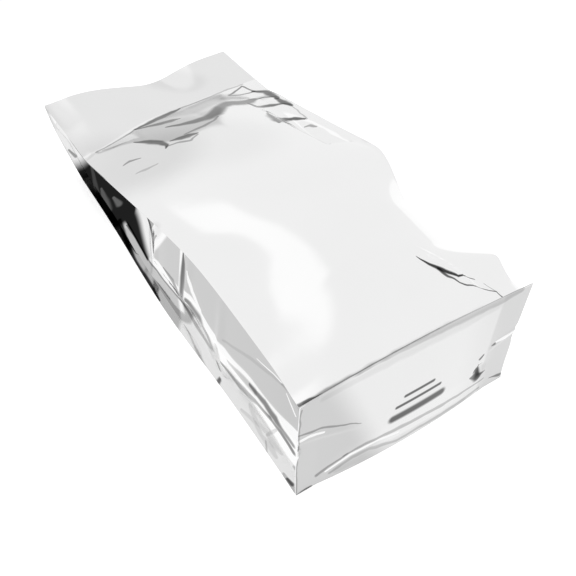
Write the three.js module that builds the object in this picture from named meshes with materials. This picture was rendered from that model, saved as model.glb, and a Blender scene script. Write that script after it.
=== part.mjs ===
// A flat bottom bag of silver film, shut at its mouth and holding a little air.
// It lies on its back panel, so the filled end is thick and the mouth hangs flat just above the ground.
// Millimetres. +X runs across the panels, +Y from the base plate to the mouth, +Z up to the front panel.

import * as THREE from 'three';
import { mergeVertices } from 'three/addons/utils/BufferGeometryUtils.js';

// Driving dimensions
const WIDTH = 140; // across the panels, from seal tip to seal tip
const LENGTH = 318; // from the base plate to the mouth
const DEPTH = 82; // height of the filled end as the bag lies
const MOUTH_HEIGHT = 20.5; // the shut mouth above the ground
const HEADER_HEIGHT = 27; // the flat header above the ground, at its crease
const HEADER_START = 253; // where the front panel comes down to the header
const SHOULDER = 103; // where the front panel starts to fall
const SHOULDER_ANGLE = THREE.MathUtils.degToRad(20.3); // slope of the falling part
const SHOULDER_ROUND = 9.5; // how softly the panel turns at the shoulder
const HEADER_ROUND = 2.5; // and where it meets the header
const BACK_LIFT_START = 262; // where the back panel leaves the ground
const PLATE_LEAN = 6; // how far the base plate leans back at its top
const LEAN_CURVE = 0.6; // steepest at the ground
const PLATE_TOP = 79; // height of the base plate at its corners
const PLATE_THICKNESS = 1;
const FLANGE = 2.4; // how far the base plate's seal stands out past the panels
const FIN = 4.5; // width of the seals along the four long edges
const FIN_THICKNESS = 1;
const MOUTH_THICKNESS = 1.2;

// Swellings, dents and folds, each with its place along the bag and its reach
const PILLOW = { atPlate: 4, full: 9, fullAt: 55, fadesFrom: 190, fadesTo: 262, skew: 0.145 };
const FLAT_MARGIN = { width: 16, from: 145, to: 185 }; // flat strip along the right edge
const PLATE_PINCH = { depth: 3.5, reach: 16 }; // the front panel dips to the base plate's seal
const RIGHT_DENT = { inward: 11, down: 15, from: 26, fullFrom: 50, fullTo: 84, to: 139 };
const CORNER_DENT = { down: 11, at: 14, reach: 18 }; // beside the base plate's right corner
const BACK_SPREAD = { out: 3, at: 140, reach: 60 }; // the back panel is widest half way along
const HEADER_DIP = { down: 8.5, x: 10, reach: 25 };
const HEADER_SLANT = 1.5; // and the mouth's right end hangs this much lower
const HEADER_CREST = { up: 3, x: -48, reach: 20 };
const HEADER_WAVES_FROM = 238;
const BACK_RISE = { steady: 0.55, late: 0.45, power: 6 }; // shares of the back panel's lift
const PLATE_BOW = 4; // the base plate is this much higher half way across
const BELLY = { out: 4.5, half: 57, x: -1, height: 25, least: 4, under: 0.8, over: 1.2 };
const PLATE_NOTCH = { deep: 2.5, rows: 1.2 }; // where the side crease meets the base plate
const CREASE_NOTCH = { deep: 2.5, reach: 12 };
const CREASE_SWELL = { out: 3, from: 136, to: 166 };
const CREASE_TUCK = { deep: 31, from: 146, full: 225, shutsFrom: 285, shutsTo: 314 };
const FIN_FADE = 25; // the long seals run out over this length before the mouth
const LEAN_FADE = 60; // the base plate's lean dies out over this length of the body

// Grid of the skin: segments across, along and up
const ACROSS = 24;
const ALONG = 50;
const UP = 14;
const CREASE_ROW = UP / 2;
const FIN_ROWS = 2; // rows that a seal takes at the top and at the bottom
const ROOT_LIP = 1.3; // a seal's thickness at its root over that at its tip
const BODY_START = 2; // stations 0 and 1 are the two faces of the base plate

const HALF = WIDTH / 2;
const { clamp, lerp, smoothstep } = THREE.MathUtils;

const bump = (value, centre, reach) => Math.exp(-(((value - centre) / reach) ** 2));
const smoothMin = (a, b, round) => (a + b - Math.hypot(a - b, round)) / 2;
const smoothMax = (a, b, round) => (a + b + Math.hypot(a - b, round)) / 2;

// Outline seen from the side

function shoulderHeight(y) {
  const slope = DEPTH - (y - SHOULDER) * Math.tan(SHOULDER_ANGLE);
  return smoothMin(DEPTH, slope, SHOULDER_ROUND);
}

function headerHeight(x, y) {
  const fall = (HEADER_HEIGHT - MOUTH_HEIGHT) / (LENGTH - HEADER_START);
  const nearMouth = smoothstep(y, HEADER_WAVES_FROM, LENGTH);
  const dip = HEADER_DIP.down * bump(x, HEADER_DIP.x, HEADER_DIP.reach);
  const slant = HEADER_SLANT * smoothstep(x, 0, HALF);
  const crest = HEADER_CREST.up * bump(x, HEADER_CREST.x, HEADER_CREST.reach);
  return HEADER_HEIGHT - fall * (y - HEADER_START) + nearMouth * (crest - dip - slant);
}

function dentShare(y) {
  const comes = smoothstep(y, RIGHT_DENT.from, RIGHT_DENT.fullFrom);
  const goes = smoothstep(y, RIGHT_DENT.fullTo, RIGHT_DENT.to);
  return comes * (1 - goes);
}

// Half width of the panels at each edge, side is -1 on the left and 1 on the right

function frontHalf(side, y) {
  return HALF - (side > 0 ? RIGHT_DENT.inward * dentShare(y) : 0);
}

function backHalf(y) {
  return HALF + BACK_SPREAD.out * bump(y, BACK_SPREAD.at, BACK_SPREAD.reach);
}

// Front panel: falls from the shoulder to the header and swells between its edges

function pillow(x, y) {
  const swell = lerp(PILLOW.atPlate, PILLOW.full, smoothstep(y, 0, PILLOW.fullAt));
  const fade = 1 - smoothstep(y - PILLOW.skew * x, PILLOW.fadesFrom, PILLOW.fadesTo);
  const margin = x > 0 ? FLAT_MARGIN.width * smoothstep(y, FLAT_MARGIN.from, FLAT_MARGIN.to) : 0;
  const across = clamp(Math.abs(x) / (frontHalf(x, y) - margin), 0, 1);
  return swell * fade * (1 - across ** 2);
}

function frontHeight(x, y) {
  const body = shoulderHeight(y) + pillow(x, y);
  const pinch = PLATE_PINCH.depth * bump(y, 0, PLATE_PINCH.reach);
  const cornerDrop = CORNER_DENT.down * bump(y, CORNER_DENT.at, CORNER_DENT.reach);
  const edgeDrop = RIGHT_DENT.down * dentShare(y) + cornerDrop;
  const drop = edgeDrop * clamp(x / frontHalf(x, y), 0, 1) ** 3;
  return smoothMax(body - pinch - drop, headerHeight(x, y), HEADER_ROUND);
}

// Back panel: lies on the ground and lifts to the mouth

function backHeight(x, y) {
  const share = clamp((y - BACK_LIFT_START) / (LENGTH - BACK_LIFT_START), 0, 1);
  const rise = BACK_RISE.steady * share + BACK_RISE.late * share ** BACK_RISE.power;
  return (headerHeight(x, LENGTH) - MOUTH_THICKNESS) * rise;
}

// Base plate: leans back, with a swelling that turns under along a bowed crease

function plateTop(x) {
  return PLATE_TOP + PLATE_BOW * (1 - (x / HALF) ** 2);
}

function plateLean(z) {
  return PLATE_LEAN * (clamp(z, 0, PLATE_TOP) / PLATE_TOP) ** LEAN_CURVE;
}

function plateFace(x, z) {
  const away = clamp(Math.abs(x - BELLY.x) / BELLY.half, 0, 1);
  const crease = Math.max(BELLY.height * Math.sqrt(1 - away ** 4), BELLY.least);
  const top = plateTop(x);
  const under = (z / crease) ** BELLY.under;
  const over = ((top - z) / (top - crease)) ** BELLY.over;
  return plateLean(z) - BELLY.out * (1 - away ** 2) * (z < crease ? under : over);
}

// Side gusset: a crease at half height that stands out near the base and is tucked in near the mouth

function creaseOut(y) {
  const notch = CREASE_NOTCH.deep * bump(y, 0, CREASE_NOTCH.reach);
  const swell = CREASE_SWELL.out * (1 - smoothstep(y, CREASE_SWELL.from, CREASE_SWELL.to));
  const tuck = CREASE_TUCK.deep * smoothstep(y, CREASE_TUCK.from, CREASE_TUCK.full);
  const open = 1 - smoothstep(y, CREASE_TUCK.shutsFrom, CREASE_TUCK.shutsTo);
  return swell - notch - tuck * open;
}

function sidePoint(side, y, row) {
  const frontX = frontHalf(side, y);
  const backX = backHalf(y);
  const top = frontHeight(side * frontX, y);
  const bottom = backHeight(side * backX, y);
  const fin = FIN * (1 - smoothstep(y, LENGTH - FIN_FADE, LENGTH));
  const lip = Math.min(FIN_THICKNESS, (top - bottom) / 4);
  const root = lip * ROOT_LIP;
  const creaseX = Math.min(frontX, backX) + creaseOut(y);
  const creaseZ = (top + bottom) / 2;
  const halfRows = CREASE_ROW - FIN_ROWS;
  if (row === 0) return [backX, bottom];
  if (row === 1) return [backX, bottom + lip];
  if (row === UP - 1) return [frontX, top - lip];
  if (row === UP) return [frontX, top];
  if (row <= CREASE_ROW) {
    const share = (row - FIN_ROWS) / halfRows;
    return [lerp(backX - fin, creaseX, share), lerp(bottom + root, creaseZ, share)];
  }
  const share = (row - CREASE_ROW) / halfRows;
  return [lerp(creaseX, frontX - fin, share), lerp(creaseZ, top - root, share)];
}

// The skin is a box whose grid points are carried to the bag: column 0 to ACROSS, station 0 to ALONG,
// row 0 to UP

function stationY(station) {
  const share = (station - BODY_START) / (ALONG - BODY_START);
  return lerp(PLATE_THICKNESS, LENGTH, share);
}

function platePoint(column, station, row) {
  const across = (2 * column) / ACROSS - 1;
  const atEdge = column % ACROSS === 0;
  const notch = atEdge ? PLATE_NOTCH.deep * bump(row, CREASE_ROW, PLATE_NOTCH.rows) : 0;
  const x = across * (HALF - notch);
  const z = plateTop(x) * (row / UP);
  return new THREE.Vector3(x, plateFace(x, z) + station * PLATE_THICKNESS, z);
}

function bodyPoint(column, station, row) {
  const y = stationY(station);
  const across = (2 * column) / ACROSS - 1;
  const flange = station === BODY_START ? FLANGE : 0;
  let x;
  let z;
  if (column % ACROSS === 0) {
    [x, z] = sidePoint(across, y, row);
    if (row > 1 && row < UP - 1) x -= flange;
    x *= across;
  } else if (row === UP) {
    x = across * frontHalf(across, y);
    z = frontHeight(x, y);
  } else if (row === 0) {
    x = across * backHalf(y);
    z = backHeight(x, y);
  } else {
    x = across * HALF;
    z = lerp(backHeight(x, y), frontHeight(x, y), row / UP);
  }
  if (row >= UP - 1) z -= flange;
  const fade = clamp(1 - (y - PLATE_THICKNESS) / LEAN_FADE, 0, 1);
  return new THREE.Vector3(x, y + plateLean(z) * fade, z);
}

function skinPoint(column, station, row) {
  return station < BODY_START ? platePoint(column, station, row) : bodyPoint(column, station, row);
}

function makeBagGeometry() {
  const box = new THREE.BoxGeometry(ACROSS, ALONG, UP, ACROSS, ALONG, UP);
  box.deleteAttribute('normal');
  box.deleteAttribute('uv');
  const skin = mergeVertices(box, 0.1);
  const position = skin.getAttribute('position');
  for (let index = 0; index < position.count; index += 1) {
    const column = Math.round(position.getX(index) + ACROSS / 2);
    const station = Math.round(position.getY(index) + ALONG / 2);
    const row = Math.round(position.getZ(index) + UP / 2);
    const point = skinPoint(column, station, row);
    position.setXYZ(index, point.x, point.y, point.z);
  }
  skin.computeBoundingBox();
  const middle = skin.boundingBox.getCenter(new THREE.Vector3());
  skin.translate(-middle.x, -middle.y, -skin.boundingBox.min.z);
  skin.computeVertexNormals();
  return skin;
}

const film = new THREE.MeshStandardMaterial({ color: 0xe4e5e7, roughness: 0.12, metalness: 1 });

const bag = new THREE.Mesh(makeBagGeometry(), film);
bag.name = 'bag';

const flatBottomBag = new THREE.Group();
flatBottomBag.add(bag);

export default flatBottomBag;
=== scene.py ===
# %% [markdown]
# # A shut flat bottom bag of silver film
#
# The bag lies on its back panel. Its filled end is thick, the front panel slopes down to a flat header, and
# two side gussets are folded in between the panels. Metallised film is almost a mirror, so most of what the
# eye sees is the room around it: a white floor, a soft bright ceiling and the grey band where they meet.
# The lesson builds the camera, the room, the skin of film and then its finish, with painted reflections and
# shade.

# %% Load the frame
import math

import bmesh
import bpy
from mathutils import Matrix, Vector


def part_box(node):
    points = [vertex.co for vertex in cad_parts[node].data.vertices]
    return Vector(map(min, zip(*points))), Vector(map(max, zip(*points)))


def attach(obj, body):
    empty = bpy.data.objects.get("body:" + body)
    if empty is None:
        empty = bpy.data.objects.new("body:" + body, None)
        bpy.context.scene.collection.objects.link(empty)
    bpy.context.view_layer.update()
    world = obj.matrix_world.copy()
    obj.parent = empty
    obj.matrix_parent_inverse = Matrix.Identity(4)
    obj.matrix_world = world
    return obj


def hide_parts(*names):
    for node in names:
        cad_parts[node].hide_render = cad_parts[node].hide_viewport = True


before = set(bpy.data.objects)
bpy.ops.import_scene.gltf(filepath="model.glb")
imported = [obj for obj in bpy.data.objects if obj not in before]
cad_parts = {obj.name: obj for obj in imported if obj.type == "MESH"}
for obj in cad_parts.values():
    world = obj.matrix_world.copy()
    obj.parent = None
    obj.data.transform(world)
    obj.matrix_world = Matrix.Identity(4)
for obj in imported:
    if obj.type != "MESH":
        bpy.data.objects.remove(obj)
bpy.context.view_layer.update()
bag_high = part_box("bag")[1]

# %% [markdown]
# ## Camera
#
# A camera can be placed by eye, or worked out from edges whose real proportions are known. Here its place,
# its two view angles, its slight roll and its focal length come from the corners and long edges of the bag,
# so that the bag fills the same part of the picture.

# %% Camera at the viewing angle
CAMERA_PLACE = Vector((-0.18936, -0.295186, 0.395317))
CAMERA_AZIMUTH = math.radians(-36.74)
CAMERA_ELEVATION = math.radians(51.42)
CAMERA_ROLL = math.radians(5.27)
CAMERA_LENS = 51.76
CAMERA_SENSOR = 36
CAMERA_NEAREST = 0.01


def camera_axes(azimuth, elevation, roll):
    backward = Vector((
        math.sin(azimuth) * math.cos(elevation),
        -math.cos(azimuth) * math.cos(elevation),
        math.sin(elevation),
    ))
    level_right = Vector((math.cos(azimuth), math.sin(azimuth), 0))
    level_up = backward.cross(level_right)
    right = math.cos(roll) * level_right + math.sin(roll) * level_up
    up = math.cos(roll) * level_up - math.sin(roll) * level_right
    return Matrix((right, up, backward)).transposed()


camera_data = bpy.data.cameras.new("camera")
camera_data.lens = CAMERA_LENS
camera_data.sensor_width = CAMERA_SENSOR
camera_data.clip_start = CAMERA_NEAREST
camera = bpy.data.objects.new("camera", camera_data)
bpy.context.collection.objects.link(camera)
turned = camera_axes(CAMERA_AZIMUTH, CAMERA_ELEVATION, CAMERA_ROLL).to_4x4()
camera.matrix_world = Matrix.Translation(CAMERA_PLACE) @ turned
bpy.context.scene.camera = camera
bpy.context.scene.view_settings.view_transform = "Standard"
print("camera looks from", tuple(round(value, 3) for value in CAMERA_PLACE))

# %% [markdown]
# ## A wrapper for shader sockets
#
# Node graphs can be wired node by node, but sums are easier to read as sums. This small class wraps one
# socket, so that an expression such as 1 - mask adds the Math nodes that it needs.


# %% Shader sockets as numbers
class Wire:
    def __init__(self, tree, socket=None):
        self.tree = tree
        self.socket = socket

    def node(self, kind, settings=None, inputs=None, output=0):
        made = self.tree.nodes.new(kind)
        for name, value in (settings or {}).items():
            setattr(made, name, value)
        for name, value in (inputs or {}).items():
            if isinstance(value, Wire):
                self.tree.links.new(value.socket, made.inputs[name])
            else:
                made.inputs[name].default_value = value
        return Wire(self.tree, made.outputs[output] if made.outputs else None)

    def math(self, operation, first, second=0.0):
        return self.node("ShaderNodeMath", {"operation": operation}, {0: first, 1: second})

    def ramp(self, start, end):
        """A smooth step from 0 at start to 1 at end. It needs no clamp. With clamps on, the film with all
        its marks rendered black. The cause wasn't looked into."""
        limits = {"Value": self, "From Min": start, "From Max": end}
        settings = {"interpolation_type": "SMOOTHSTEP", "clamp": False}
        return self.node("ShaderNodeMapRange", settings, limits)

    def between(self, low, high, soft):
        """1 between low and high and 0 outside, softened at both."""
        return self.ramp(low - soft, low + soft) * (1 - self.ramp(high - soft, high + soft))

    def __add__(self, other):
        return self.math("ADD", self, other)

    def __radd__(self, other):
        return self.math("ADD", other, self)

    def __sub__(self, other):
        return self.math("SUBTRACT", self, other)

    def __rsub__(self, other):
        return self.math("SUBTRACT", other, self)

    def __mul__(self, other):
        return self.math("MULTIPLY", self, other)

    def __rmul__(self, other):
        return self.math("MULTIPLY", other, self)

    def __truediv__(self, other):
        return self.math("DIVIDE", self, other)


def new_material(name):
    material = bpy.data.materials.new(name)
    material.use_nodes = True
    material.node_tree.nodes.clear()
    return material, Wire(material.node_tree)


def finish_material(wires, shader):
    wires.node("ShaderNodeOutputMaterial", None, {"Surface": shader})


print("socket wrapper ready")

# %% [markdown]
# ## The room
#
# A mirror needs something to reflect. A studio could be built from lamps and cards, but a world shader that
# reads the direction of a ray is smoother and lights the floor as well. It is nearly white, with a grey low
# band behind the bag where the floor ends, and one brighter streak on the ceiling that the panel mirrors.

# %% World
SKY_LEVEL = 0.975
STREAK_LEVEL = 0.13
GREY_LEVEL = 0.66
BACKDROP_LEVEL = 1.05

# The grey band, in degrees of heading and of elevation
BAND_HEADINGS = {"low": -110, "high": 26, "soft": 2}
BAND_TOP = (-1.5, 3.5)

# The streak on a ceiling one unit up: both edges start at a place and take steps (size, from, to)
LEAST_RISE = 0.02
LEFT_SLANT = {"slope": 0.57, "until": 0.46}
LEFT_EDGE = -0.14
LEFT_STEPS = ((0.2, 0.6, 0.85), (-0.14, 1.2, 2.4))
RIGHT_EDGE = 0.17
RIGHT_STEPS = ((0.14, 0.35, 0.75), (0.2, 1.2, 3.6))
LEFT_SOFT = (-0.02, 0.04)
RIGHT_SOFT = (-0.04, 0.05)
STREAK_FOOT = (-0.17, -0.05)
STREAK_HEAD = (3.6, 4.2)
HEAD_SLANT = 1.82


def degrees(wires, operation, first, second=0.0):
    return wires.math(operation, first, second) * math.degrees(1)


world = bpy.data.worlds.new("studio")
world.use_nodes = True
world.node_tree.nodes.clear()
bpy.context.scene.world = world
room = Wire(world.node_tree)
ray = room.node("ShaderNodeTexCoord", output="Generated")
ray_parts = room.node("ShaderNodeSeparateXYZ", None, {"Vector": ray})
split = ray_parts.socket.node.outputs
ray_x = Wire(world.node_tree, split["X"])
ray_y = Wire(world.node_tree, split["Y"])
ray_z = Wire(world.node_tree, split["Z"])
elevation = degrees(room, "ARCSINE", ray_z)
heading = degrees(room, "ARCTAN2", ray_x, ray_y)
behind = heading.between(**BAND_HEADINGS)
low_band = behind * (1 - elevation.ramp(*BAND_TOP))
ceiling_x = ray_x / room.math("MAXIMUM", ray_z, LEAST_RISE)
ceiling_y = ray_y / room.math("MAXIMUM", ray_z, LEAST_RISE)
streak_left = LEFT_SLANT["slope"] * room.math("MAXIMUM", LEFT_SLANT["until"] - ceiling_y, 0) + LEFT_EDGE
for size, start, end in LEFT_STEPS:
    streak_left = streak_left + size * ceiling_y.ramp(start, end)
streak_right = RIGHT_EDGE
for size, start, end in RIGHT_STEPS:
    streak_right = streak_right + size * ceiling_y.ramp(start, end)
streak = (ceiling_x - streak_left).ramp(*LEFT_SOFT) * (streak_right - ceiling_x).ramp(*RIGHT_SOFT)
streak = streak * (1 - (ceiling_y + HEAD_SLANT * ceiling_x).ramp(*STREAK_HEAD))
streak = streak * ceiling_y.ramp(*STREAK_FOOT)
level = low_band * GREY_LEVEL + (1 - low_band) * (SKY_LEVEL + STREAK_LEVEL * streak)
seen = room.node("ShaderNodeLightPath", output="Is Camera Ray")
level = seen * BACKDROP_LEVEL + (1 - seen) * level
background = room.node("ShaderNodeBackground", None, {"Color": (1, 1, 1, 1), "Strength": level})
room.node("ShaderNodeOutputWorld", None, {"Surface": background})
print("world nodes:", len(world.node_tree.nodes))

# %% [markdown]
# ## The floor
#
# A studio floor is a sheet of white paper. A plain sheet would do for the eye, but the film mirrors it, and
# what the film shows is simpler: white near the bag, grey behind it, and no brighter than the room to the
# right of the mouth. So only mirrored rays see a second shader, which reads places on the floor in metres.

# %% Floor
FLOOR_LOW = Vector((-0.75, -0.75))
FLOOR_HIGH = Vector((0.75, 0.25))
FLOOR_GLOW = 0.42
FLOOR_MIRRORED = 1.08
FLOOR_COLOUR = (0.93, 0.93, 0.93, 1)
FLOOR_ROUGHNESS = 0.9
FAR_FLOOR = (0.15, 0.18)
RIGHT_FLOOR = (0.08, 0.11)
RIGHT_BEHIND = (0.08, 0.11)

floor_form = bmesh.new()
floor_size = FLOOR_HIGH - FLOOR_LOW
floor_middle = (FLOOR_HIGH + FLOOR_LOW) / 2
floor_place = Matrix.Translation((*floor_middle, 0)) @ Matrix.Diagonal((*floor_size, 1, 1))
bmesh.ops.create_grid(floor_form, x_segments=1, y_segments=1, size=0.5, matrix=floor_place)
floor_mesh = bpy.data.meshes.new("floor")
floor_form.to_mesh(floor_mesh)
floor_form.free()
floor = bpy.data.objects.new("floor", floor_mesh)
bpy.context.collection.objects.link(floor)
floor_material, paper = new_material("white_paper")
paper_shader = paper.node("ShaderNodeBsdfPrincipled", None, {
    "Base Color": FLOOR_COLOUR,
    "Roughness": FLOOR_ROUGHNESS,
    "Specular IOR Level": 0.0,
    "Emission Color": (1, 1, 1, 1),
    "Emission Strength": FLOOR_GLOW,
})
spot = paper.node("ShaderNodeTexCoord", output="Object")
spot_parts = paper.node("ShaderNodeSeparateXYZ", None, {"Vector": spot}).socket.node.outputs
floor_x = Wire(floor_material.node_tree, spot_parts["X"])
floor_y = Wire(floor_material.node_tree, spot_parts["Y"])
far = floor_y.ramp(*FAR_FLOOR)
right_side = floor_x.ramp(*RIGHT_FLOOR)
far_level = GREY_LEVEL + (SKY_LEVEL - GREY_LEVEL) * right_side
near_level = FLOOR_MIRRORED + (SKY_LEVEL - FLOOR_MIRRORED) * right_side * floor_y.ramp(*RIGHT_BEHIND)
shade = near_level * (1 - far) + far_level * far
mirrored = paper.node("ShaderNodeEmission", None, {"Color": (1, 1, 1, 1), "Strength": shade})
in_mirror = paper.node("ShaderNodeLightPath", output="Is Glossy Ray")
finish_material(paper, paper.node("ShaderNodeMixShader", None, {0: in_mirror, 1: paper_shader, 2: mirrored}))
floor_mesh.materials.append(floor_material)
print("floor:", tuple(round(side, 2) for side in floor_size), "m")

# %% [markdown]
# ## Sizes of the bag
#
# All shape functions work in millimetres, with x across the panels, y from the base plate to the mouth and
# z up from the ground. The solid in the frame has the same main sizes, so the film lies close to it.

# %% Driving sizes
MM = 0.001
WIDTH = 140
LENGTH = 318
DEPTH = 82
HALF = WIDTH / 2
MOUTH_HEIGHT = 20.5
HEADER_HEIGHT = 27
HEADER_START = 253
SHOULDER = 103
SHOULDER_SLOPE = math.tan(math.radians(20.3))
BACK_LIFT_START = 262
PLATE_LEAN = 6
PLATE_TOP = 79
FILM = 0.5
FLANGE = 2.4
FIN = 4.5
MOUTH_THICKNESS = 0.9
middle_y = LENGTH - bag_high[1] / MM
print("the frame's middle lies at y =", round(middle_y, 2), "mm")


# %% Shaping helpers
PLEAT_REACH = 3
PLEAT_TAPER = 0.7


def clamp(value, low=0.0, high=1.0):
    return min(max(value, low), high)


def mix(start, end, share):
    return start + (end - start) * share


def rise(value, start, end):
    share = clamp((value - start) / (end - start))
    return share * share * (3 - 2 * share)


def bump(value, centre, reach):
    return math.exp(-(((value - centre) / reach) ** 2))


def soft_min(first, second, rounding):
    return (first + second - math.hypot(first - second, rounding)) / 2


def soft_max(first, second, rounding):
    return (first + second + math.hypot(first - second, rounding)) / 2


def pleat(x, y, start, end, width, height, lean=0.0):
    """Height of one soft ridge that runs from start to end and dies out at both."""
    along_x = end[0] - start[0]
    along_y = end[1] - start[1]
    length = math.hypot(along_x, along_y)
    along = ((x - start[0]) * along_x + (y - start[1]) * along_y) / length
    across = ((x - start[0]) * along_y - (y - start[1]) * along_x) / length
    if along < 0 or along > length or abs(across) > PLEAT_REACH * width:
        return 0.0
    taper = math.sin(math.pi * along / length) ** PLEAT_TAPER
    return height * taper * math.exp(-((across / width) ** 2)) * (1 + lean * across / width)


print("a pleat's crest:", round(pleat(5, 0, (0, 0), (10, 0), 2, 1.5), 2), "mm")

# %% [markdown]
# ## Front panel
#
# A real panel is one flat sheet that air pushes up between stiff seals. It could be simulated as cloth, but
# the folds of a simulation lie where chance puts them, so its height is written as a sum of named swellings,
# dents and pleats that lie where they should.

# %% Swellings and dents of the front panel
# Each says how far it goes, and between which y it comes and goes, or where it is and its reach
SHOULDER_ROUND = 9.5
HEADER_WAVES_FROM = 238
HEADER_DIP = {"down": 8.5, "x": 10, "reach": 25}
HEADER_SLANT = 1.5
HEADER_CREST = {"up": 3, "inner": (-50, -14), "left_loss": 0.35, "left_from": 50}
EDGE_DENT = {"inward": 11, "down": 15, "comes": (26, 50), "goes": (84, 139), "power": 3}
CORNER_DENT = {"down": 11, "at": 14, "reach": 18}
PLATE_PINCH = {"down": 3.5, "reach": 16}
PILLOW = {"at_plate": 4, "full": 13, "full_at": 55, "loss": 0.35, "fades": (190, 275)}
FLAT_MARGIN = {"width": 14, "widens": (90, 240)}
BACK_SPREAD = {"out": 3, "at": 140, "reach": 60}
print("the pillow swells by", PILLOW["full"], "mm")

# %% Folds of the front panel
CREASE_LINE = ((-61, 253), (-49, 256), (-29, 263), (-12, 268), (12, 272), (60, 272))
BRINK_LINE = (
    (-58, 249), (-38, 239), (-28, 220), (-17, 216), (8, 224), (23, 240), (37, 247), (50, 243), (66, 223),
)
BRINK_SWELL = {"up": 2, "reach": 26, "left": (-66, -44), "right": (36, 62)}

# Known fault: the strip's line is followed from this y on and not only from the brink, so on the right, at x
# from 44 to 64, it cuts into the panel, with a step of up to 12 mm where it begins
STEEP_STRIP = {"from": 150, "least": 4, "round": 1, "left": (-66, -54), "right": (52, 66)}
HEADER_ROUND = {"crease": 1.2, "corner": 7, "x": (30, 60), "comes": (165, 200), "goes": (235, 262)}

# Each pleat: start, end, half width, height and lean of a ridge
HEADER_PLEATS = (
    ((45, 262), (66, 250), 2.0, 0.3, 0.3),
    ((44, 240), (66, 230), 2.2, 0.35, 0.3),
)
DART = ((24, 50), (47, 2), 1.8, 1.7, 0.5)
DART_UNTIL = 60
print("pleats of the front panel:", len(HEADER_PLEATS) + 1)


# %% Front panel
def shoulder_height(y):
    return soft_min(DEPTH, DEPTH - (y - SHOULDER) * SHOULDER_SLOPE, SHOULDER_ROUND)


def header_height(x, y):
    fall = (HEADER_HEIGHT - MOUTH_HEIGHT) / (LENGTH - HEADER_START)
    near_mouth = rise(y, HEADER_WAVES_FROM, LENGTH)
    dip = HEADER_DIP["down"] * bump(x, HEADER_DIP["x"], HEADER_DIP["reach"])
    dip += HEADER_SLANT * rise(x, 0, HALF)
    left_end = HEADER_CREST["left_loss"] * rise(-x, HEADER_CREST["left_from"], HALF)
    crest = HEADER_CREST["up"] * (1 - rise(x, *HEADER_CREST["inner"])) * (1 - left_end)
    return HEADER_HEIGHT - fall * (y - HEADER_START) + near_mouth * (crest - dip)


def dent_share(y):
    return rise(y, *EDGE_DENT["comes"]) * (1 - rise(y, *EDGE_DENT["goes"]))


def front_half(side, y):
    """Half width of the front panel, with the dent in its right edge."""
    return HALF - (EDGE_DENT["inward"] * dent_share(y) if side > 0 else 0)


def back_half(y):
    return HALF + BACK_SPREAD["out"] * bump(y, BACK_SPREAD["at"], BACK_SPREAD["reach"])


def pillow(x, y):
    swell = mix(PILLOW["at_plate"], PILLOW["full"], rise(y, 0, PILLOW["full_at"]))
    swell *= 1 - PILLOW["loss"] * rise(y, *PILLOW["fades"])
    margin = FLAT_MARGIN["width"] * rise(y, *FLAT_MARGIN["widens"]) if x > 0 else 0
    across = clamp(abs(x) / (front_half(x, y) - margin))
    return swell * (1 - across ** 2)


def line_at(points, x):
    """Where the line that joins the points passes x."""
    for (start, start_y), (end, end_y) in zip(points, points[1:]):
        if x <= end:
            return mix(start_y, end_y, clamp((x - start) / (end - start)))
    return points[-1][1]


def brink_swell(x, y):
    """Low ridge along the brink, where the steep strip begins."""
    inward = rise(x, *BRINK_SWELL["left"]) * (1 - rise(x, *BRINK_SWELL["right"]))
    return BRINK_SWELL["up"] * inward * bump(y, line_at(BRINK_LINE, x), BRINK_SWELL["reach"])


def body_height(x, y):
    pinch = PLATE_PINCH["down"] * bump(y, 0, PLATE_PINCH["reach"])
    edge = EDGE_DENT["down"] * dent_share(y)
    edge += CORNER_DENT["down"] * bump(y, CORNER_DENT["at"], CORNER_DENT["reach"])
    drop = edge * clamp(x / front_half(x, y)) ** EDGE_DENT["power"]
    return shoulder_height(y) + pillow(x, y) + brink_swell(x, y) - pinch - drop


def steep_height(x, y):
    """The steep strip between the brink of the pillow and the header's crease."""
    crease = line_at(CREASE_LINE, x)
    brink = min(line_at(BRINK_LINE, x), crease - STEEP_STRIP["least"])
    top = body_height(x, brink)
    foot = header_height(x, crease)
    return mix(top, foot, (y - brink) / (crease - brink))


def header_rounding(x, y):
    """How softly the panel meets the header: sharp at the crease, round at the right corner."""
    corner = rise(x, *HEADER_ROUND["x"]) * rise(y, *HEADER_ROUND["comes"])
    corner *= 1 - rise(y, *HEADER_ROUND["goes"])
    return mix(HEADER_ROUND["crease"], HEADER_ROUND["corner"], corner)


def front_height(x, y):
    height = body_height(x, y)
    if y > STEEP_STRIP["from"]:
        steep = soft_min(height, steep_height(x, y), STEEP_STRIP["round"])
        inside = rise(x, *STEEP_STRIP["left"]) * (1 - rise(x, *STEEP_STRIP["right"]))
        height = soft_max(mix(height, steep, inside), header_height(x, y), header_rounding(x, y))
        for fold in HEADER_PLEATS:
            height += pleat(x, y, *fold)
    elif y < DART_UNTIL:
        height += pleat(x, y, *DART)
    return height


print("front panel at its middle:", round(front_height(0, 150), 1), "mm high")

# %% [markdown]
# ## Back panel
#
# The bag's weight presses this panel flat on the ground, so it needs no swelling. It only leaves the ground
# near the mouth, where the header stays up, steadily at first and then faster.

# %% Back panel
BACK_RISE = {"steady": 0.55, "late": 0.45, "power": 6}


def back_height(x, y):
    share = clamp((y - BACK_LIFT_START) / (LENGTH - BACK_LIFT_START))
    lift = BACK_RISE["steady"] * share + BACK_RISE["late"] * share ** BACK_RISE["power"]
    return (header_height(x, LENGTH) - MOUTH_THICKNESS) * lift


print("back panel lifts", round(back_height(0, LENGTH), 1), "mm at the mouth")

# %% [markdown]
# ## Base plate
#
# The base plate is a separate sheet, sealed to the panels all round. Its seal stands out as a narrow flange.
# Below the middle the film turns under along a bowed crease.


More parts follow.
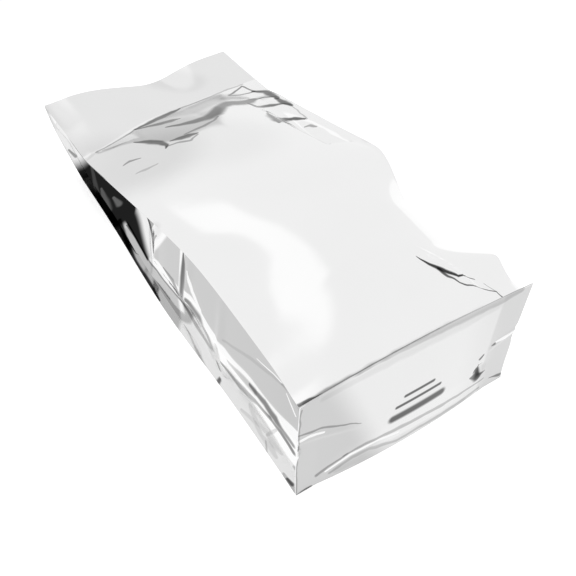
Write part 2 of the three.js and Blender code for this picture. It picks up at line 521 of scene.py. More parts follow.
# %% Base plate
PLATE_BOW = 4
LEAN_CURVE = 0.6
BELLY = {"out": 4.5, "half": 57, "x": -1, "height": 25, "least": 4, "over": 1.2, "under": 0.8, "foot": 0.68}
STAR = {"out": 1.8, "x": 48, "z": 22, "reach": 4}
PLATE_CREASES = (
    ((-74, 50), (-30, 36), 1.5, 0.7),
    ((50, 36), (74, 44), 1.3, 0.8),
)


def plate_top(x):
    return PLATE_TOP + PLATE_BOW * (1 - (x / HALF) ** 2)


def plate_lean(z):
    return PLATE_LEAN * (clamp(z, 0, PLATE_TOP) / PLATE_TOP) ** LEAN_CURVE


def belly_out(x, z):
    """How far the plate swells out: most along its bowed crease, and two thirds as far on the ground."""
    away = clamp(abs(x - BELLY["x"]) / BELLY["half"])
    crease = max(BELLY["height"] * math.sqrt(1 - away ** 4), BELLY["least"])
    under = mix(BELLY["foot"], 1, (z / crease) ** BELLY["under"])
    over = (max(plate_top(x) - z, 0) / (plate_top(x) - crease)) ** BELLY["over"]
    return BELLY["out"] * (1 - away ** 2) * (under if z < crease else over)


def plate_face(x, z):
    star = STAR["out"] * bump(math.hypot(x - STAR["x"], z - STAR["z"]), 0, STAR["reach"])
    creases = sum(pleat(x, z, *crease) for crease in PLATE_CREASES)
    return plate_lean(z) - belly_out(x, z) + star - creases


print("base plate top:", round(plate_top(0), 1), "mm")

# %% [markdown]
# ## Side gusset
#
# A gusset is a strip folded once along its middle. Near the base the air pushes the fold outward, and it
# buckles there into flat facets; near the mouth the fold is tucked in between the panels.

# %% Gusset
BUCKLES = (
    # y at the fold line, y at the front seal, outward height
    (150, 156, 1.6),
    (112, 114, 1.5),
    (75, 82, 1.3),
)
BUCKLE_WIDTH = 4.5
BUCKLES_HIGHER_RIGHT = 6
BUCKLES_BELOW = 0.4
CREASE_NOTCH = {"deep": 2.5, "reach": 12}
CREASE_SWELL = {"out": 2, "goes": (136, 166)}
CREASE_TUCK = {"deep": 31, "comes": (146, 225), "goes": (285, 314)}
CREASE_LIFT = {"up": 9, "reach": 22}
LOWER_HOLLOW = {"deep": 6, "comes": (80, 140), "goes": (200, 250)}


def crease_out(y):
    notch = CREASE_NOTCH["deep"] * bump(y, 0, CREASE_NOTCH["reach"])
    swell = CREASE_SWELL["out"] * (1 - rise(y, *CREASE_SWELL["goes"]))
    tuck = CREASE_TUCK["deep"] * rise(y, *CREASE_TUCK["comes"]) * (1 - rise(y, *CREASE_TUCK["goes"]))
    return swell - notch - tuck


def crease_height(y, top, bottom):
    return (top + bottom) / 2 + CREASE_LIFT["up"] * bump(y, 0, CREASE_LIFT["reach"])


def facets(side, y, half, share):
    """Outward swelling of one half of the gusset, share runs from the seal to the crease."""
    swelling = 0.0
    shift = BUCKLES_HIGHER_RIGHT if side > 0 else 0
    strength = 1 if half > 0 else BUCKLES_BELOW
    for at_crease, at_seal, height in BUCKLES:
        line = mix(at_seal, at_crease, share)
        away = abs(y - line - shift) / BUCKLE_WIDTH
        swelling += height * share * max(1 - away, 0) * strength
    if half < 0:
        hollow = rise(y, *LOWER_HOLLOW["comes"]) * (1 - rise(y, *LOWER_HOLLOW["goes"]))
        swelling -= LOWER_HOLLOW["deep"] * hollow * math.sin(math.pi * share)
    return swelling


print("buckles of a gusset:", len(BUCKLES))

# %% Cross section of a gusset
FIN_STEPS = 3
FIN_FADE = 25
LIP_SHARE = 0.25
ROWS = 46
CREASE_ROW = ROWS // 2
ROOT_ROW = 1 + FIN_STEPS


def side_point(side, y, row):
    """One point of a gusset in cross section: rows run up from the back panel to the front panel."""
    front_x = front_half(side, y)
    back_x = back_half(y)
    top = front_height(side * front_x, y)
    bottom = back_height(side * back_x, y)
    fin = FIN * (1 - rise(y, LENGTH - FIN_FADE, LENGTH))
    lip = min(FILM, (top - bottom) * LIP_SHARE)
    crease_x = min(front_x, back_x) + crease_out(y)
    crease_z = crease_height(y, top, bottom)
    if row == 0:
        return back_x, bottom
    if row == ROWS:
        return front_x, top
    if row < ROOT_ROW:
        share = (row - 1) / FIN_STEPS
        return back_x - fin * share, bottom + lip
    if row > ROWS - ROOT_ROW:
        share = (ROWS - 1 - row) / FIN_STEPS
        return front_x - fin * share, top - lip
    if row <= CREASE_ROW:
        share = (row - ROOT_ROW) / (CREASE_ROW - ROOT_ROW)
        out = facets(side, y, -1, share)
        return mix(back_x - fin, crease_x, share) + out, mix(bottom + lip, crease_z, share)
    share = (ROWS - ROOT_ROW - row) / (CREASE_ROW - ROOT_ROW)
    out = facets(side, y, 1, share)
    return mix(front_x - fin, crease_x, share) + out, mix(top - lip, crease_z, share)


print("rows up the side:", ROWS)

# %% [markdown]
# ## The skin
#
# The bag's skin has the same layout as a box: six rectangular sheets that meet at their edges. So six grids
# are made in place and welded to a closed lattice box, and every lattice point is then carried to the bag.
# The lines of the lattice lie closer together where the film has its finest folds.

# %% Lattice box
COLUMNS = 112
STATIONS = 230
BODY_START = 2
WELD_REACH = 0.01

# Stations 0 and 1 are the two faces of the base plate. Each stop is a station of the body and its y.
STATION_STOPS = ((2, 0.6), (62, 60), (126, 190), (204, 268), (STATIONS, LENGTH))


def add_sheet(lattice, wide, high, turn, offset):
    place = Matrix.Translation(offset) @ turn @ Matrix.Diagonal((wide, high, 1, 1))
    bmesh.ops.create_grid(lattice, x_segments=wide, y_segments=high, size=0.5, matrix=place)


def make_lattice():
    lattice = bmesh.new()
    flat = Matrix.Identity(4)
    upright = Matrix.Rotation(math.radians(90), 4, "X")
    sideways = Matrix.Rotation(math.radians(90), 4, "Y")
    for sign in (-1, 1):
        add_sheet(lattice, COLUMNS, STATIONS, flat, (0, 0, sign * ROWS / 2))
        add_sheet(lattice, COLUMNS, ROWS, upright, (0, sign * STATIONS / 2, 0))
        add_sheet(lattice, ROWS, STATIONS, sideways, (sign * COLUMNS / 2, 0, 0))
    bmesh.ops.remove_doubles(lattice, verts=lattice.verts, dist=WELD_REACH)
    bmesh.ops.recalc_face_normals(lattice, faces=lattice.faces)
    return lattice


skin = make_lattice()
print("lattice:", len(skin.verts), "points,", len(skin.faces), "faces")

# %% Where a lattice point goes
PLATE_NOTCH = {"deep": 2.5, "rows": 3.5}
LEAN_FADE = 60

# The upper edge of the flange hangs by this share of its width, so no dark gap opens behind the seal
FLANGE_DROP = 0.4


def station_y(station):
    for (start, start_y), (end, end_y) in zip(STATION_STOPS, STATION_STOPS[1:]):
        if station <= end:
            return mix(start_y, end_y, (station - start) / (end - start))
    return LENGTH


def plate_point(column, station, row):
    across = 2 * column / COLUMNS - 1
    at_edge = column in (0, COLUMNS)
    notch = PLATE_NOTCH["deep"] * bump(row, CREASE_ROW, PLATE_NOTCH["rows"]) if at_edge else 0
    x = across * (HALF - notch)
    z = plate_top(x) * row / ROWS
    return x, plate_face(x, z) + station * FILM, z


def body_point(column, station, row):
    y = station_y(station)
    across = 2 * column / COLUMNS - 1
    flange = FLANGE if station == BODY_START else 0
    if column in (0, COLUMNS):
        x, z = side_point(across, y, row)
        if 1 < row < ROWS - 1:
            x -= flange
        x *= across
    elif row == ROWS:
        x = across * front_half(across, y)
        z = front_height(x, y)
    elif row == 0:
        x = across * back_half(y)
        z = back_height(x, y)
    else:
        x = across * HALF
        z = mix(back_height(x, y), front_height(x, y), row / ROWS)
    if row >= ROWS - 1:
        z -= FLANGE_DROP * flange
    fade = clamp(1 - y / LEAN_FADE)
    return x, y + plate_lean(z) * fade, z


def lattice_indices(place):
    return round(place.x + COLUMNS / 2), round(place.y + STATIONS / 2), round(place.z + ROWS / 2)


def skin_point(place):
    column, station, row = lattice_indices(place)
    shape = plate_point if station < BODY_START else body_point
    x, y, z = shape(column, station, row)
    return Vector((x, y - middle_y, z)) * MM


print("the flange's upper edge hangs by", round(FLANGE_DROP * FLANGE, 2), "mm")

# %% Where a lattice point lies in the flat pattern
BACK_SHIFT = 1000
FACES_ALONG = 0.5


def pattern_point(place, facing):
    """Place of a lattice point in the flat pattern that the film is folded from."""
    column, station, row = lattice_indices(place)
    x = (2 * column / COLUMNS - 1) * HALF
    y = station_y(station)
    down = 1 - row / ROWS
    if abs(facing.x) > FACES_ALONG:
        return facing.x * (HALF + down * DEPTH), y
    if facing.y > FACES_ALONG:
        return x, LENGTH + down * DEPTH
    if facing.y < -FACES_ALONG:
        return x, -down * DEPTH
    return x, y + (0 if facing.z > 0 else BACK_SHIFT)


print("pattern of the gussets starts at x =", HALF, "mm")

# %% Carry the lattice to the bag
SHARP_ANGLE = math.radians(38)

pattern = skin.loops.layers.uv.new("pattern")
for face in skin.faces:
    for corner in face.loops:
        corner[pattern].uv = pattern_point(corner.vert.co, face.normal)
for vertex in skin.verts:
    vertex.co = skin_point(vertex.co)
skin.normal_update()
for face in skin.faces:
    face.smooth = True
for edge in skin.edges:
    edge.smooth = edge.calc_face_angle(0) < SHARP_ANGLE
bag_mesh = bpy.data.meshes.new("bag_film")
skin.to_mesh(bag_mesh)
skin.free()
bag = bpy.data.objects.new("bag_film", bag_mesh)
bpy.context.collection.objects.link(bag)
print("bag film:", len(bag_mesh.polygons), "faces")

# %% [markdown]
# ## Painted fold reflections
#
# In a mirror, each fold shows as a dark or a bright line, because its flank turns to another part of the
# room. The sharpest folds of thin film are finer than the lattice, so these reflections are painted into the
# film's colour as tapering strokes on the flat pattern that the film is folded from: x across, y up from the
# base seam, with the gussets beside the front panel and the base plate below it. Bright lines are painted
# highlights that take painted shade away. A dark mark is its darkness and its points (x, y, half width).

# %% Painted reflections and shade on the front panel
# Dark reflections of the panel's folds and of the band below the header, painted into the film's colour; the
# wide soft patches among them are painted shade
SHOULDER_PAINTED_REFLECTIONS = (
    (0.5, (-61, 252.7, 0.7), (-49, 255, 1), (-39, 257, 1), (-29, 262, 1)),
    (0.78, (-29, 261.5, 1), (-18, 263.5, 2.4), (-7, 266, 3.4), (2, 269.5, 2.4), (9, 271.5, 0.8)),
    (0.35, (9, 272, 0.7), (34, 270.5, 1), (47, 272, 0.7), (59, 271.5, 0.6)),
    (0.24, (-2, 262, 5), (10, 257, 9), (24, 258, 9), (36, 260, 8), (45, 258, 6)),
    (0.26, (36, 258, 3), (41, 255, 3.4), (43.5, 252, 3), (50, 252, 2.4)),
    (0.74, (-29, 261, 0.7), (-20, 256.5, 2.2), (-14, 252.5, 3), (-8, 250.5, 3), (-3, 249, 1)),
    (
        0.8, (-16, 242, 0.8), (-9, 235.5, 2.4), (-1, 230.5, 4.4), (7, 229, 5.6), (14, 231, 5.4),
        (24, 241, 4.8), (32, 244.5, 5.4), (36.5, 242.5, 5.2), (40, 241.5, 5), (46, 242.5, 4.4),
        (54, 247.4, 2),
    ),
    (0.5, (-16, 215, 0.8), (-2, 216, 1.6), (6.5, 219, 1.2), (12, 224, 0.8)),
    (0.8, (-41, 236, 0.6), (-35, 227, 2.2), (-31, 219, 2.4), (-30, 213, 1.4), (-32, 209.5, 0.5)),
    (0.76, (-26, 215, 0.8), (-20, 212, 2.4), (-16, 211, 2.8), (-12, 210, 1.4), (-10, 210, 0.5)),
    (0.5, (-31, 211, 0.8), (-25, 209, 1), (-17, 204.5, 1), (-11, 208, 0.6)),
    (0.4, (-57, 250, 0.8), (-51, 245, 1.4), (-44, 242, 0.5)),
    (0.66, (43, 263, 1), (50, 266.5, 0.9), (57, 269.5, 0.8), (61.5, 259, 0.6)),
    (0.6, (61.5, 259, 0.6), (54, 259.5, 0.8), (43, 261.5, 1.3)),
    (0.82, (60, 259.5, 1), (66.5, 253, 2.6), (66.5, 246, 2.8), (65.6, 237, 1.4)),
    (0.74, (50, 248.5, 0.9), (61, 245, 1), (65.6, 239.5, 1)),
    (0.82, (64.6, 237, 1.2), (65.6, 229, 2.6), (66.3, 220, 1)),
    (0.76, (44, 239, 0.8), (45.5, 231, 2), (56, 231, 1.6), (64.4, 226.5, 1.1), (67, 221, 0.6)),
    (
        0.84, (40, 195, 1), (42.5, 200, 4.4), (45.3, 207, 5.4), (44.5, 211, 3), (43.8, 215, 1),
        (46.3, 208, 3), (50.5, 208, 3.6), (54, 209, 2.2), (57.5, 206, 1.6), (61.8, 198, 0.6),
    ),
    (0.35, (66, 219.5, 0.5), (62.4, 196.7, 0.5)),
    (0.5, (57.5, 191.5, 0.5), (60, 189.8, 0.9), (61.6, 184.5, 0.5)),
    (0.55, (-57, 218, 0.5), (-52, 218.5, 1.1), (-47, 215, 0.5)),
    (0.3, (-56, 201.6, 0.5), (-50.7, 200, 1.3), (-43, 199, 0.5)),
    (0.14, (-66, 226, 36), (-44, 210, 30)),
    (0.05, (-40, 210, 34), (0, 190, 30)),
    (0.08, (18, 320, 12), (31, 296, 10)),
    (0.08, (-68, 318, 8), (-64, 292, 8)),
    (0.13, (-72, 249, 1.6), (-60, 252, 1.2)),
)
# Dark reflections along the dart's creases, painted into the film's colour
DART_PAINTED_REFLECTIONS = (
    (0.94, (24, 41, 0.2), (26, 34, 1.1), (28, 30, 1.4), (35, 22, 0.5), (44, 18, 0.2)),
    (0.85, (28, 29, 1), (30, 24, 0.8), (34, 19, 0.4), (43, 12, 0.25), (52, 8, 0.35), (52, 3, 0.4)),
    (0.4, (48, 14, 0.25), (52, 8, 0.3)),
)

# %% Painted reflections and shade on the base plate
# Dark reflections of the seams, the ridge, the creases, the star dent and the notch, and shade in the
# corners, painted into the film's colour
PLATE_PAINTED_REFLECTIONS = (
    (0.32, (-66, 1.2, 1.6), (-45, 1, 1.6), (-26, 0.5, 1.8), (15, -1.4, 3), (50, -2.2, 3.2), (62, -1.6, 2)),
    (0.36, (-70, 1.6, 1.1), (-57, 1.4, 1), (-40, 1, 0.8), (-15, 0.7, 0.7), (10, 0.4, 0.6)),
    (0.1, (-57, -4, 2), (-20, -5, 3), (20, -6, 4), (48, -6, 3)),
    (0.5, (-70, -25, 0.5), (-63, -28, 1), (-57, -30, 0.9), (-46, -36, 0.6), (-34, -43, 0.3)),
    (0.7, (-70, 2.6, 0.9), (-64, 2, 0.8), (-58, 1, 0.4)),
    (0.4, (-69.4, -3, 0.5), (-69.4, -80, 0.5)),
    (0.75, (-70, -82, 1), (-61, -81, 0.6)),
    (0.5, (-57, -74.5, 1.3), (-49, -70.3, 1.2), (-40, -66, 1)),
    (0.44, (-42, -66.5, 0.9), (-29, -64.6, 1.3), (-6, -66.4, 1.8), (20, -69.4, 1.8), (55, -73, 0.7)),
    (
        0.32, (-50, -78, 1), (-36, -72.5, 1.5), (-26, -72.5, 1.5), (-8, -79, 1.2), (30, -80, 1.2),
        (52, -79.5, 1),
    ),
    (0.12, (-46, -78, 2), (-28, -78, 4), (12, -79, 3), (40, -80, 2)),
    (0.9, (41, -61, 0.5), (48, -66, 3), (46, -53, 0.5)),
    (0.85, (48, -66, 2.6), (54, -65, 0.4)),
    (0.85, (46, -48, 1), (48, -46.5, 0.8)),
    (0.7, (53, -42, 0.5), (55, -41.5, 1)),
    (0.7, (60, -77, 0.4), (69, -79, 1.4)),
)

# Painted highlights along light folds, which take the plate's painted shade away: only their points
RIDGE_HIGHLIGHT = ((-52, -74.5, 0.8), (-38, -68.6, 1.3), (-22, -67.5, 1.1), (-8, -71, 0.8))
MIDDLE_FOLD_HIGHLIGHT = ((-70, -30.5, 1), (-63, -31.5, 1), (-55, -35, 0.6))
NOTCH_FOLD_HIGHLIGHT = ((55, -41, 0.6), (64, -40, 1.4), (70, -39, 1.6))

# Plain bars where a bag has its print
PRINT_BARS = (
    (0.86, (-7, -40, 1.1), (11, -40, 1.1)),
    (0.86, (-12, -46, 1.1), (16, -46, 1.1)),
    (0.86, (-14, -54, 2.6), (18, -54, 2.6)),
)

# %% Painted reflections and shade on the gussets
# Dark reflections of the gussets' folds and the dark shade along the back seal, painted into the film's
# colour
GUSSET_PAINTED_REFLECTIONS = (
    (0.3, (71, 172, 0.5), (71, 4, 0.5)),
    (0.16, (74, 146, 5), (95, 157, 4)),
    (0.55, (91, 152, 0.6), (98, 155.5, 1.2), (105, 159, 0.6)),
    (0.6, (107, 139, 0.5), (108, 127, 1.6), (112, 119, 1.2)),
    (0.9, (82, 121.5, 0.4), (90, 119.5, 1.8), (100, 117.5, 3), (110, 115.5, 3)),
    (0.74, (108.6, 110, 1.6), (111, 97, 3.4), (117, 90.5, 3.6), (126, 87, 2)),
    (0.66, (134, 128, 1.4), (132.5, 110, 3), (129, 91, 3)),
    (0.9, (136, 84, 1.8), (140.5, 82.5, 1.4)),
    (0.94, (127.5, 76.5, 1.6), (125, 60, 3.4), (118.5, 47, 3.4), (113.5, 37, 2.2), (112.5, 23, 1.9)),
    (0.94, (112.5, 23, 1.9), (115.4, 14.5, 2), (122.6, 5.5, 1.8)),
    (0.42, (113, 66, 1.6), (108.8, 49, 2), (107.4, 39, 2)),
    (0.78, (107.6, 44, 1), (106.8, 29.5, 1.9), (108.8, 19, 2.2), (113.7, 10.7, 2), (117, 5, 1.6)),
    (0.32, (86, 21, 0.8), (81, 11, 5), (84, 5, 4)),
    (0.16, (104, 73, 0.6), (94, 49, 1), (87.6, 27, 1), (86.6, 21.6, 0.5)),
    (0.7, (142.3, 209, 0.5), (141, 173, 0.5), (134.5, 130, 0.7), (127, 87, 0.5)),
    (0.16, (148, 57, 0.8), (145, 46, 1.6), (147, 38, 1.2), (146, 30, 2.2), (147, 23, 1)),
    (0.36, (142, 35, 0.7), (131, 28, 1), (121.6, 21.7, 1), (117, 18, 0.7)),
    (0.4, (149, 13, 0.8), (150, 3, 2.4)),
    (0.8, (149, 9.5, 0.9), (148.5, 6, 1.3)),
    (0.94, (144, 216, 1.2), (148, 195, 1.7), (150, 180, 1.7), (149, 161, 1.5), (149.5, 146, 0.6)),
    (0.6, (148, 287, 0.8), (146, 281, 1.4)),
)

# Painted highlights of light folds across the painted grey: only their points
GREY_PAINTED_HIGHLIGHTS = (
    ((91.5, 114, 0.6), (96, 110.5, 1.3), (100, 107, 1.5), (105, 97, 1.4)),
    ((88, 16, 0.3), (91, 11, 0.6), (94.5, 6.5, 0.5)),
    ((90, 44, 0.2), (86.4, 27, 0.4), (85.4, 21, 0.3)),
)

# Painted reflections in the painted dark hollow: the share of light that each gives back, and its points
HOLLOW_PAINTED_REFLECTIONS = (
    (0.1, (142, 247, 0.8), (145, 236, 2.8), (147, 229, 3)),
    (0.13, (139, 234, 1), (139, 227, 2)),
    (0.05, (139, 267, 1), (147, 245, 2)),
)
print("marks:", len(SHOULDER_PAINTED_REFLECTIONS + DART_PAINTED_REFLECTIONS + PLATE_PAINTED_REFLECTIONS + GUSSET_PAINTED_REFLECTIONS))


# %% Drawing a mark
STROKE_SOFT = (0.5, 1.5)


def make_stroke():
    """A node group that masks one straight tapering line, softened on both sides of its half width."""
    tree = bpy.data.node_groups.new("stroke", "ShaderNodeTree")
    for name in ("Spot", "Start", "End"):
        tree.interface.new_socket(name, in_out="INPUT", socket_type="NodeSocketVector")
    for name in ("Start half", "End half"):
        tree.interface.new_socket(name, in_out="INPUT", socket_type="NodeSocketFloat")
    tree.interface.new_socket("Mask", in_out="OUTPUT", socket_type="NodeSocketFloat")
    wires = Wire(tree)
    ports = wires.node("NodeGroupInput").socket.node.outputs
    spot, start, end, start_half, end_half = [Wire(tree, port) for port in ports[:5]]
    vector = "ShaderNodeVectorMath"
    run = wires.node(vector, {"operation": "SUBTRACT"}, {0: end, 1: start})
    offset = wires.node(vector, {"operation": "SUBTRACT"}, {0: spot, 1: start})
    length = wires.node(vector, {"operation": "DOT_PRODUCT"}, {0: run, 1: run}, "Value")
    along = wires.node(vector, {"operation": "DOT_PRODUCT"}, {0: offset, 1: run}, "Value")
    share = wires.node("ShaderNodeClamp", None, {"Value": along / length})
    nearest = wires.node(vector, {"operation": "SCALE"}, {0: run, "Scale": share})
    gap = wires.node(vector, {"operation": "DISTANCE"}, {0: offset, 1: nearest}, "Value")
    half = start_half + (end_half - start_half) * share
    wires.node("NodeGroupOutput", None, {"Mask": 1 - (gap / half).ramp(*STROKE_SOFT)})
    return tree


stroke_tree = make_stroke()


def stroke(wires, spot, start, end):
    """Mask of one straight tapering line between two points (x, y, half width)."""
    start_x, start_y, start_half = start
    end_x, end_y, end_half = end
    return wires.node("ShaderNodeGroup", {"node_tree": stroke_tree}, {
        "Spot": spot,
        "Start": (start_x, start_y, 0),
        "End": (end_x, end_y, 0),
        "Start half": start_half,
        "End half": end_half,
    })


def draw_mark(wires, spot, points):
    mask = stroke(wires, spot, points[0], points[1])
    for start, end in zip(points[1:], points[2:]):
        mask = wires.math("MAXIMUM", mask, stroke(wires, spot, start, end))
    return mask


def draw_marks(wires, spot, marks):
    """Share of the film's colour left under all the marks: painted reflections and shade, or print."""
    left = 1 - marks[0][0] * draw_mark(wires, spot, marks[0][1:])
    for darkness, *points in marks[1:]:
        left = left * (1 - darkness * draw_mark(wires, spot, points))
    return left


print("stroke group nodes:", len(stroke_tree.nodes))

# %% [markdown]
# ## Film finish and painted shade
#
# Metallised film is a thin layer of aluminium under clear plastic. It is fully metallic and nearly smooth,
# with a faint cloudiness and tiny dents that spread the reflections. Wide soft shades and darker
# reflections, such as the hollow where the gusset is tucked in, are painted shade: bands of the same flat
# pattern that darken the film's colour.

# %% Places on the pattern
# Strokes waver as real folds do, by a noise on the pattern, and less so on the gussets
WANDER_SCALE = 0.12
WANDER = 2.4
SIDE_SHARE = 0.35

film_material, film = new_material("metallised_film")
spot = film.node("ShaderNodeUVMap", {"uv_map": "pattern"})
spot_parts = film.node("ShaderNodeSeparateXYZ", None, {"Vector": spot}).socket.node.outputs
spot_x = Wire(film_material.node_tree, spot_parts["X"])
spot_y = Wire(film_material.node_tree, spot_parts["Y"])
side_x = film.math("ABSOLUTE", spot_x)
wander = film.node(
    "ShaderNodeTexNoise", None, {"Vector": spot, "Scale": WANDER_SCALE, "Detail": 1}, "Color"
)
wander = film.node("ShaderNodeVectorMath", {"operation": "SUBTRACT"}, {0: wander, 1: (0.5, 0.5, 0.5)})
wander = film.node("ShaderNodeVectorMath", {"operation": "MULTIPLY"}, {0: wander, 1: (WANDER, WANDER, 0)})
front_spot = film.node("ShaderNodeVectorMath", {"operation": "ADD"}, {0: spot, 1: wander})
side_spot = film.node("ShaderNodeCombineXYZ", None, {"X": side_x, "Y": spot_y})
calm = film.node("ShaderNodeVectorMath", {"operation": "SCALE"}, {0: wander, "Scale": SIDE_SHARE})
side_spot = film.node("ShaderNodeVectorMath", {"operation": "ADD"}, {0: side_spot, 1: calm})
print("strokes wander by up to", WANDER / 2, "mm")

# %% Painted shades of the header and the base plate
# Each pair is where an edge begins and ends, along x or y of the pattern
SEAL_EDGE = (69.8, 70)
PLATE_SEAM = (-0.6, -0.2)
HEADER_RISE = {"up": 19, "x": (-75, 5)}
# The header is painted a little darker, which dulls the ceiling streak that it mirrors
HEADER_PAINTED_SHADE = 0.1
HEADER_FROM = (252.5, 254)
HEADER_TO = (330, 340)
# The base plate is painted darker all over, and more so at its left and its right, for its darker
# reflections
LEFT_PAINTED_SHADE = {"slant": 0.37, "fades": (-60, -40), "level": 0.24}
RIGHT_PAINTED_SHADE = {"comes": (49.5, 52.5), "level": 0.13}
NEAR_RIGHT_PAINTED_SHADE = {"comes": (25, 50), "level": 0.06}
PLATE_PAINTED_SHADE = 0.12

on_front = 1 - side_x.ramp(*SEAL_EDGE)
on_side = 1 - on_front
on_plate = on_front * (1 - spot_y.ramp(*PLATE_SEAM))
header = (spot_y - HEADER_RISE["up"] * spot_x.ramp(*HEADER_RISE["x"])).ramp(*HEADER_FROM)
header = on_front * header * (1 - spot_y.ramp(*HEADER_TO))
plate_painted_shade = PLATE_PAINTED_SHADE + LEFT_PAINTED_SHADE["level"] * (
    1 - (spot_x + LEFT_PAINTED_SHADE["slant"] * spot_y).ramp(*LEFT_PAINTED_SHADE["fades"])
)
for shade in (RIGHT_PAINTED_SHADE, NEAR_RIGHT_PAINTED_SHADE):
    plate_painted_shade = plate_painted_shade + shade["level"] * spot_x.ramp(*shade["comes"])
for fold in (RIDGE_HIGHLIGHT, NOTCH_FOLD_HIGHLIGHT, MIDDLE_FOLD_HIGHLIGHT):
    plate_painted_shade = plate_painted_shade * (1 - draw_mark(film, spot, fold))
print("film nodes so far:", len(film_material.node_tree.nodes))

# %% Painted shades of the gusset
# x runs from the front seal at 70 over the crease at 111 to the back seal at 152, on both gussets
# The grey zones are painted shade for darker parts of the room that the gusset mirrors, and the hollow where
# it is tucked in is painted almost black as shade, with painted reflections in it
CREASE = {"x": 136.5, "slant": 0.16, "y": 209, "soft": (-4, 0.6), "opens": (212, 220)}
BACK_FIN = {"x": (141.5, 142.5), "until": (208, 214)}
HOLLOW = {"from": (174, 177), "to": (268, 280), "level": 0.985}
LOWER_GREY = {"x": 141.5, "slant": 0.155, "y": 173, "soft": (-0.4, 0.4), "until": (206, 212)}
LOWER_GREY_FOOT = {"x": 137, "soft": (132, 137)}
FIRST_GREY = {"x": (72, 107.5, 0.8), "slant": 0.55, "y": (84, 133, 1.5)}
FIRST_GREY_FOOT = {"slant": 0.18, "soft": (126.5, 128)}
SECOND_GREY = {"from": (71.2, 72.8), "x": 103.4, "soft": (-0.8, 0.8), "foot": (2, 3)}
SECOND_GREY_BULGE = {"out": 3.5, "y": (55, 95, 12)}
SECOND_GREY_HEAD = {"slant": 0.25, "soft": (122.5, 124)}
FOLD_PAINTED_SHADE = {"x": (72, 114, 1), "slant": 0.55, "y": (149, 172, 0.8), "level": 0.86}
GREY_PAINTED_SHADE = 0.4

from_seal = side_x - HALF
crease_side = (side_x - CREASE["x"] - CREASE["slant"] * (CREASE["y"] - spot_y)).ramp(*CREASE["soft"])
crease_side = crease_side + spot_y.ramp(*CREASE["opens"])
hollow = film.node("ShaderNodeClamp", None, {"Value": crease_side})
hollow = hollow * (1 - side_x.ramp(*BACK_FIN["x"]) * (1 - spot_y.ramp(*BACK_FIN["until"])))
hollow = hollow * spot_y.ramp(*HOLLOW["from"]) * (1 - spot_y.ramp(*HOLLOW["to"])) * on_side
hollow_painted_dark = HOLLOW["level"]
for level, *points in HOLLOW_PAINTED_REFLECTIONS:
    hollow_painted_dark = hollow_painted_dark - level * draw_mark(film, side_spot, points)

crease_x = LOWER_GREY["x"] - LOWER_GREY["slant"] * film.math("MAXIMUM", LOWER_GREY["y"] - spot_y, 0)
lower_painted_grey = (side_x - crease_x).ramp(*LOWER_GREY["soft"]) * (1 - spot_y.ramp(*LOWER_GREY["until"]))
lower_painted_grey = lower_painted_grey * (spot_y + side_x - LOWER_GREY_FOOT["x"]).ramp(*LOWER_GREY_FOOT["soft"])
first_painted_grey = side_x.between(*FIRST_GREY["x"])
first_painted_grey = first_painted_grey * (spot_y - FIRST_GREY["slant"] * from_seal).between(*FIRST_GREY["y"])
first_foot = spot_y + FIRST_GREY_FOOT["slant"] * from_seal
first_painted_grey = first_painted_grey * first_foot.ramp(*FIRST_GREY_FOOT["soft"])
second_edge = SECOND_GREY["x"] + SECOND_GREY_BULGE["out"] * spot_y.between(*SECOND_GREY_BULGE["y"])
second_painted_grey = side_x.ramp(*SECOND_GREY["from"]) * (1 - (side_x - second_edge).ramp(*SECOND_GREY["soft"]))
second_head = spot_y + SECOND_GREY_HEAD["slant"] * from_seal
second_painted_grey = second_painted_grey * (1 - second_head.ramp(*SECOND_GREY_HEAD["soft"]))
second_painted_grey = second_painted_grey * spot_y.ramp(*SECOND_GREY["foot"])
for fold in GREY_PAINTED_HIGHLIGHTS:
    second_painted_grey = second_painted_grey * (1 - draw_mark(film, side_spot, fold))
fold_painted_shade = (spot_y - FOLD_PAINTED_SHADE["slant"] * from_seal).between(*FOLD_PAINTED_SHADE["y"])
fold_painted_shade = side_x.between(*FOLD_PAINTED_SHADE["x"]) * fold_painted_shade
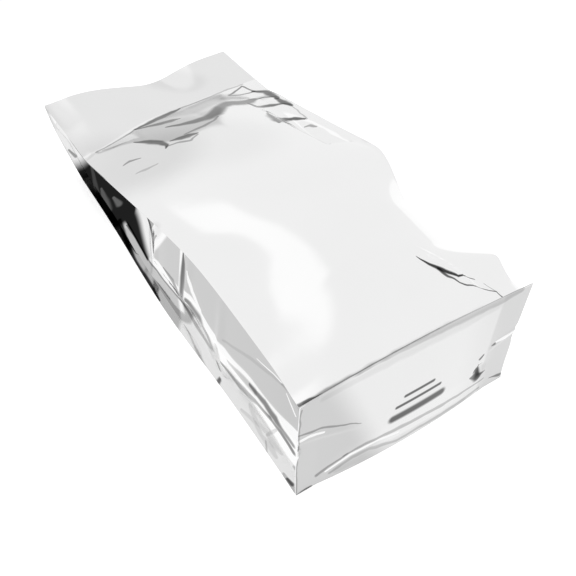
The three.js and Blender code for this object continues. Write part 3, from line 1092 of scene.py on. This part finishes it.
side_painted_shade = GREY_PAINTED_SHADE * (lower_painted_grey + first_painted_grey + second_painted_grey) + FOLD_PAINTED_SHADE["level"] * fold_painted_shade
side_painted_shade = side_painted_shade + hollow * hollow_painted_dark
print("film nodes so far:", len(film_material.node_tree.nodes))

# %% Film material
FILM_COLOUR = (0.9, 0.9, 0.9, 1)
FILM_SHADE = (0.87, 0.87, 0.87, 1)
CLOUD = {"Scale": 22, "Detail": 3}
CRINKLE = {"Scale": 60, "Detail": 2}
CRINKLE_RELIEF = {"Strength": 0.15, "Distance": 0.0004}
SMOOTHEST = 0.08
CLOUDY_ROUGHNESS = 0.04

# The film's colour is darkened by all painted shades and painted reflections, and by the print bars
left = (1 - HEADER_PAINTED_SHADE * header) * (1 - on_plate * plate_painted_shade) * (1 - on_side * side_painted_shade)
left = left * draw_marks(film, front_spot, SHOULDER_PAINTED_REFLECTIONS + DART_PAINTED_REFLECTIONS + PLATE_PAINTED_REFLECTIONS)
left = left * draw_marks(film, spot, PRINT_BARS)
left = left * draw_marks(film, side_spot, GUSSET_PAINTED_REFLECTIONS)

place = film.node("ShaderNodeTexCoord", output="Object")
cloud = film.node("ShaderNodeTexNoise", None, {"Vector": place, **CLOUD}, "Fac")
crinkle = film.node("ShaderNodeTexNoise", None, {"Vector": place, **CRINKLE}, "Fac")
clean = film.node("ShaderNodeMix", {"data_type": "RGBA"}, {0: cloud, 6: FILM_SHADE, 7: FILM_COLOUR}, 2)
film_colour_with_painted_light = film.node("ShaderNodeVectorMath", {"operation": "SCALE"}, {0: clean, "Scale": left})
relief = film.node("ShaderNodeBump", None, {**CRINKLE_RELIEF, "Height": crinkle})
film_shader = film.node("ShaderNodeBsdfPrincipled", None, {
    "Base Color": film_colour_with_painted_light,
    "Metallic": 1.0,
    "Roughness": SMOOTHEST + CLOUDY_ROUGHNESS * cloud,
    "Normal": relief,
})
finish_material(film, film_shader)
bag_mesh.materials.append(film_material)
print("film nodes:", len(film_material.node_tree.nodes))

# %% Hand over
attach(bag, "root")
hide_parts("bag")
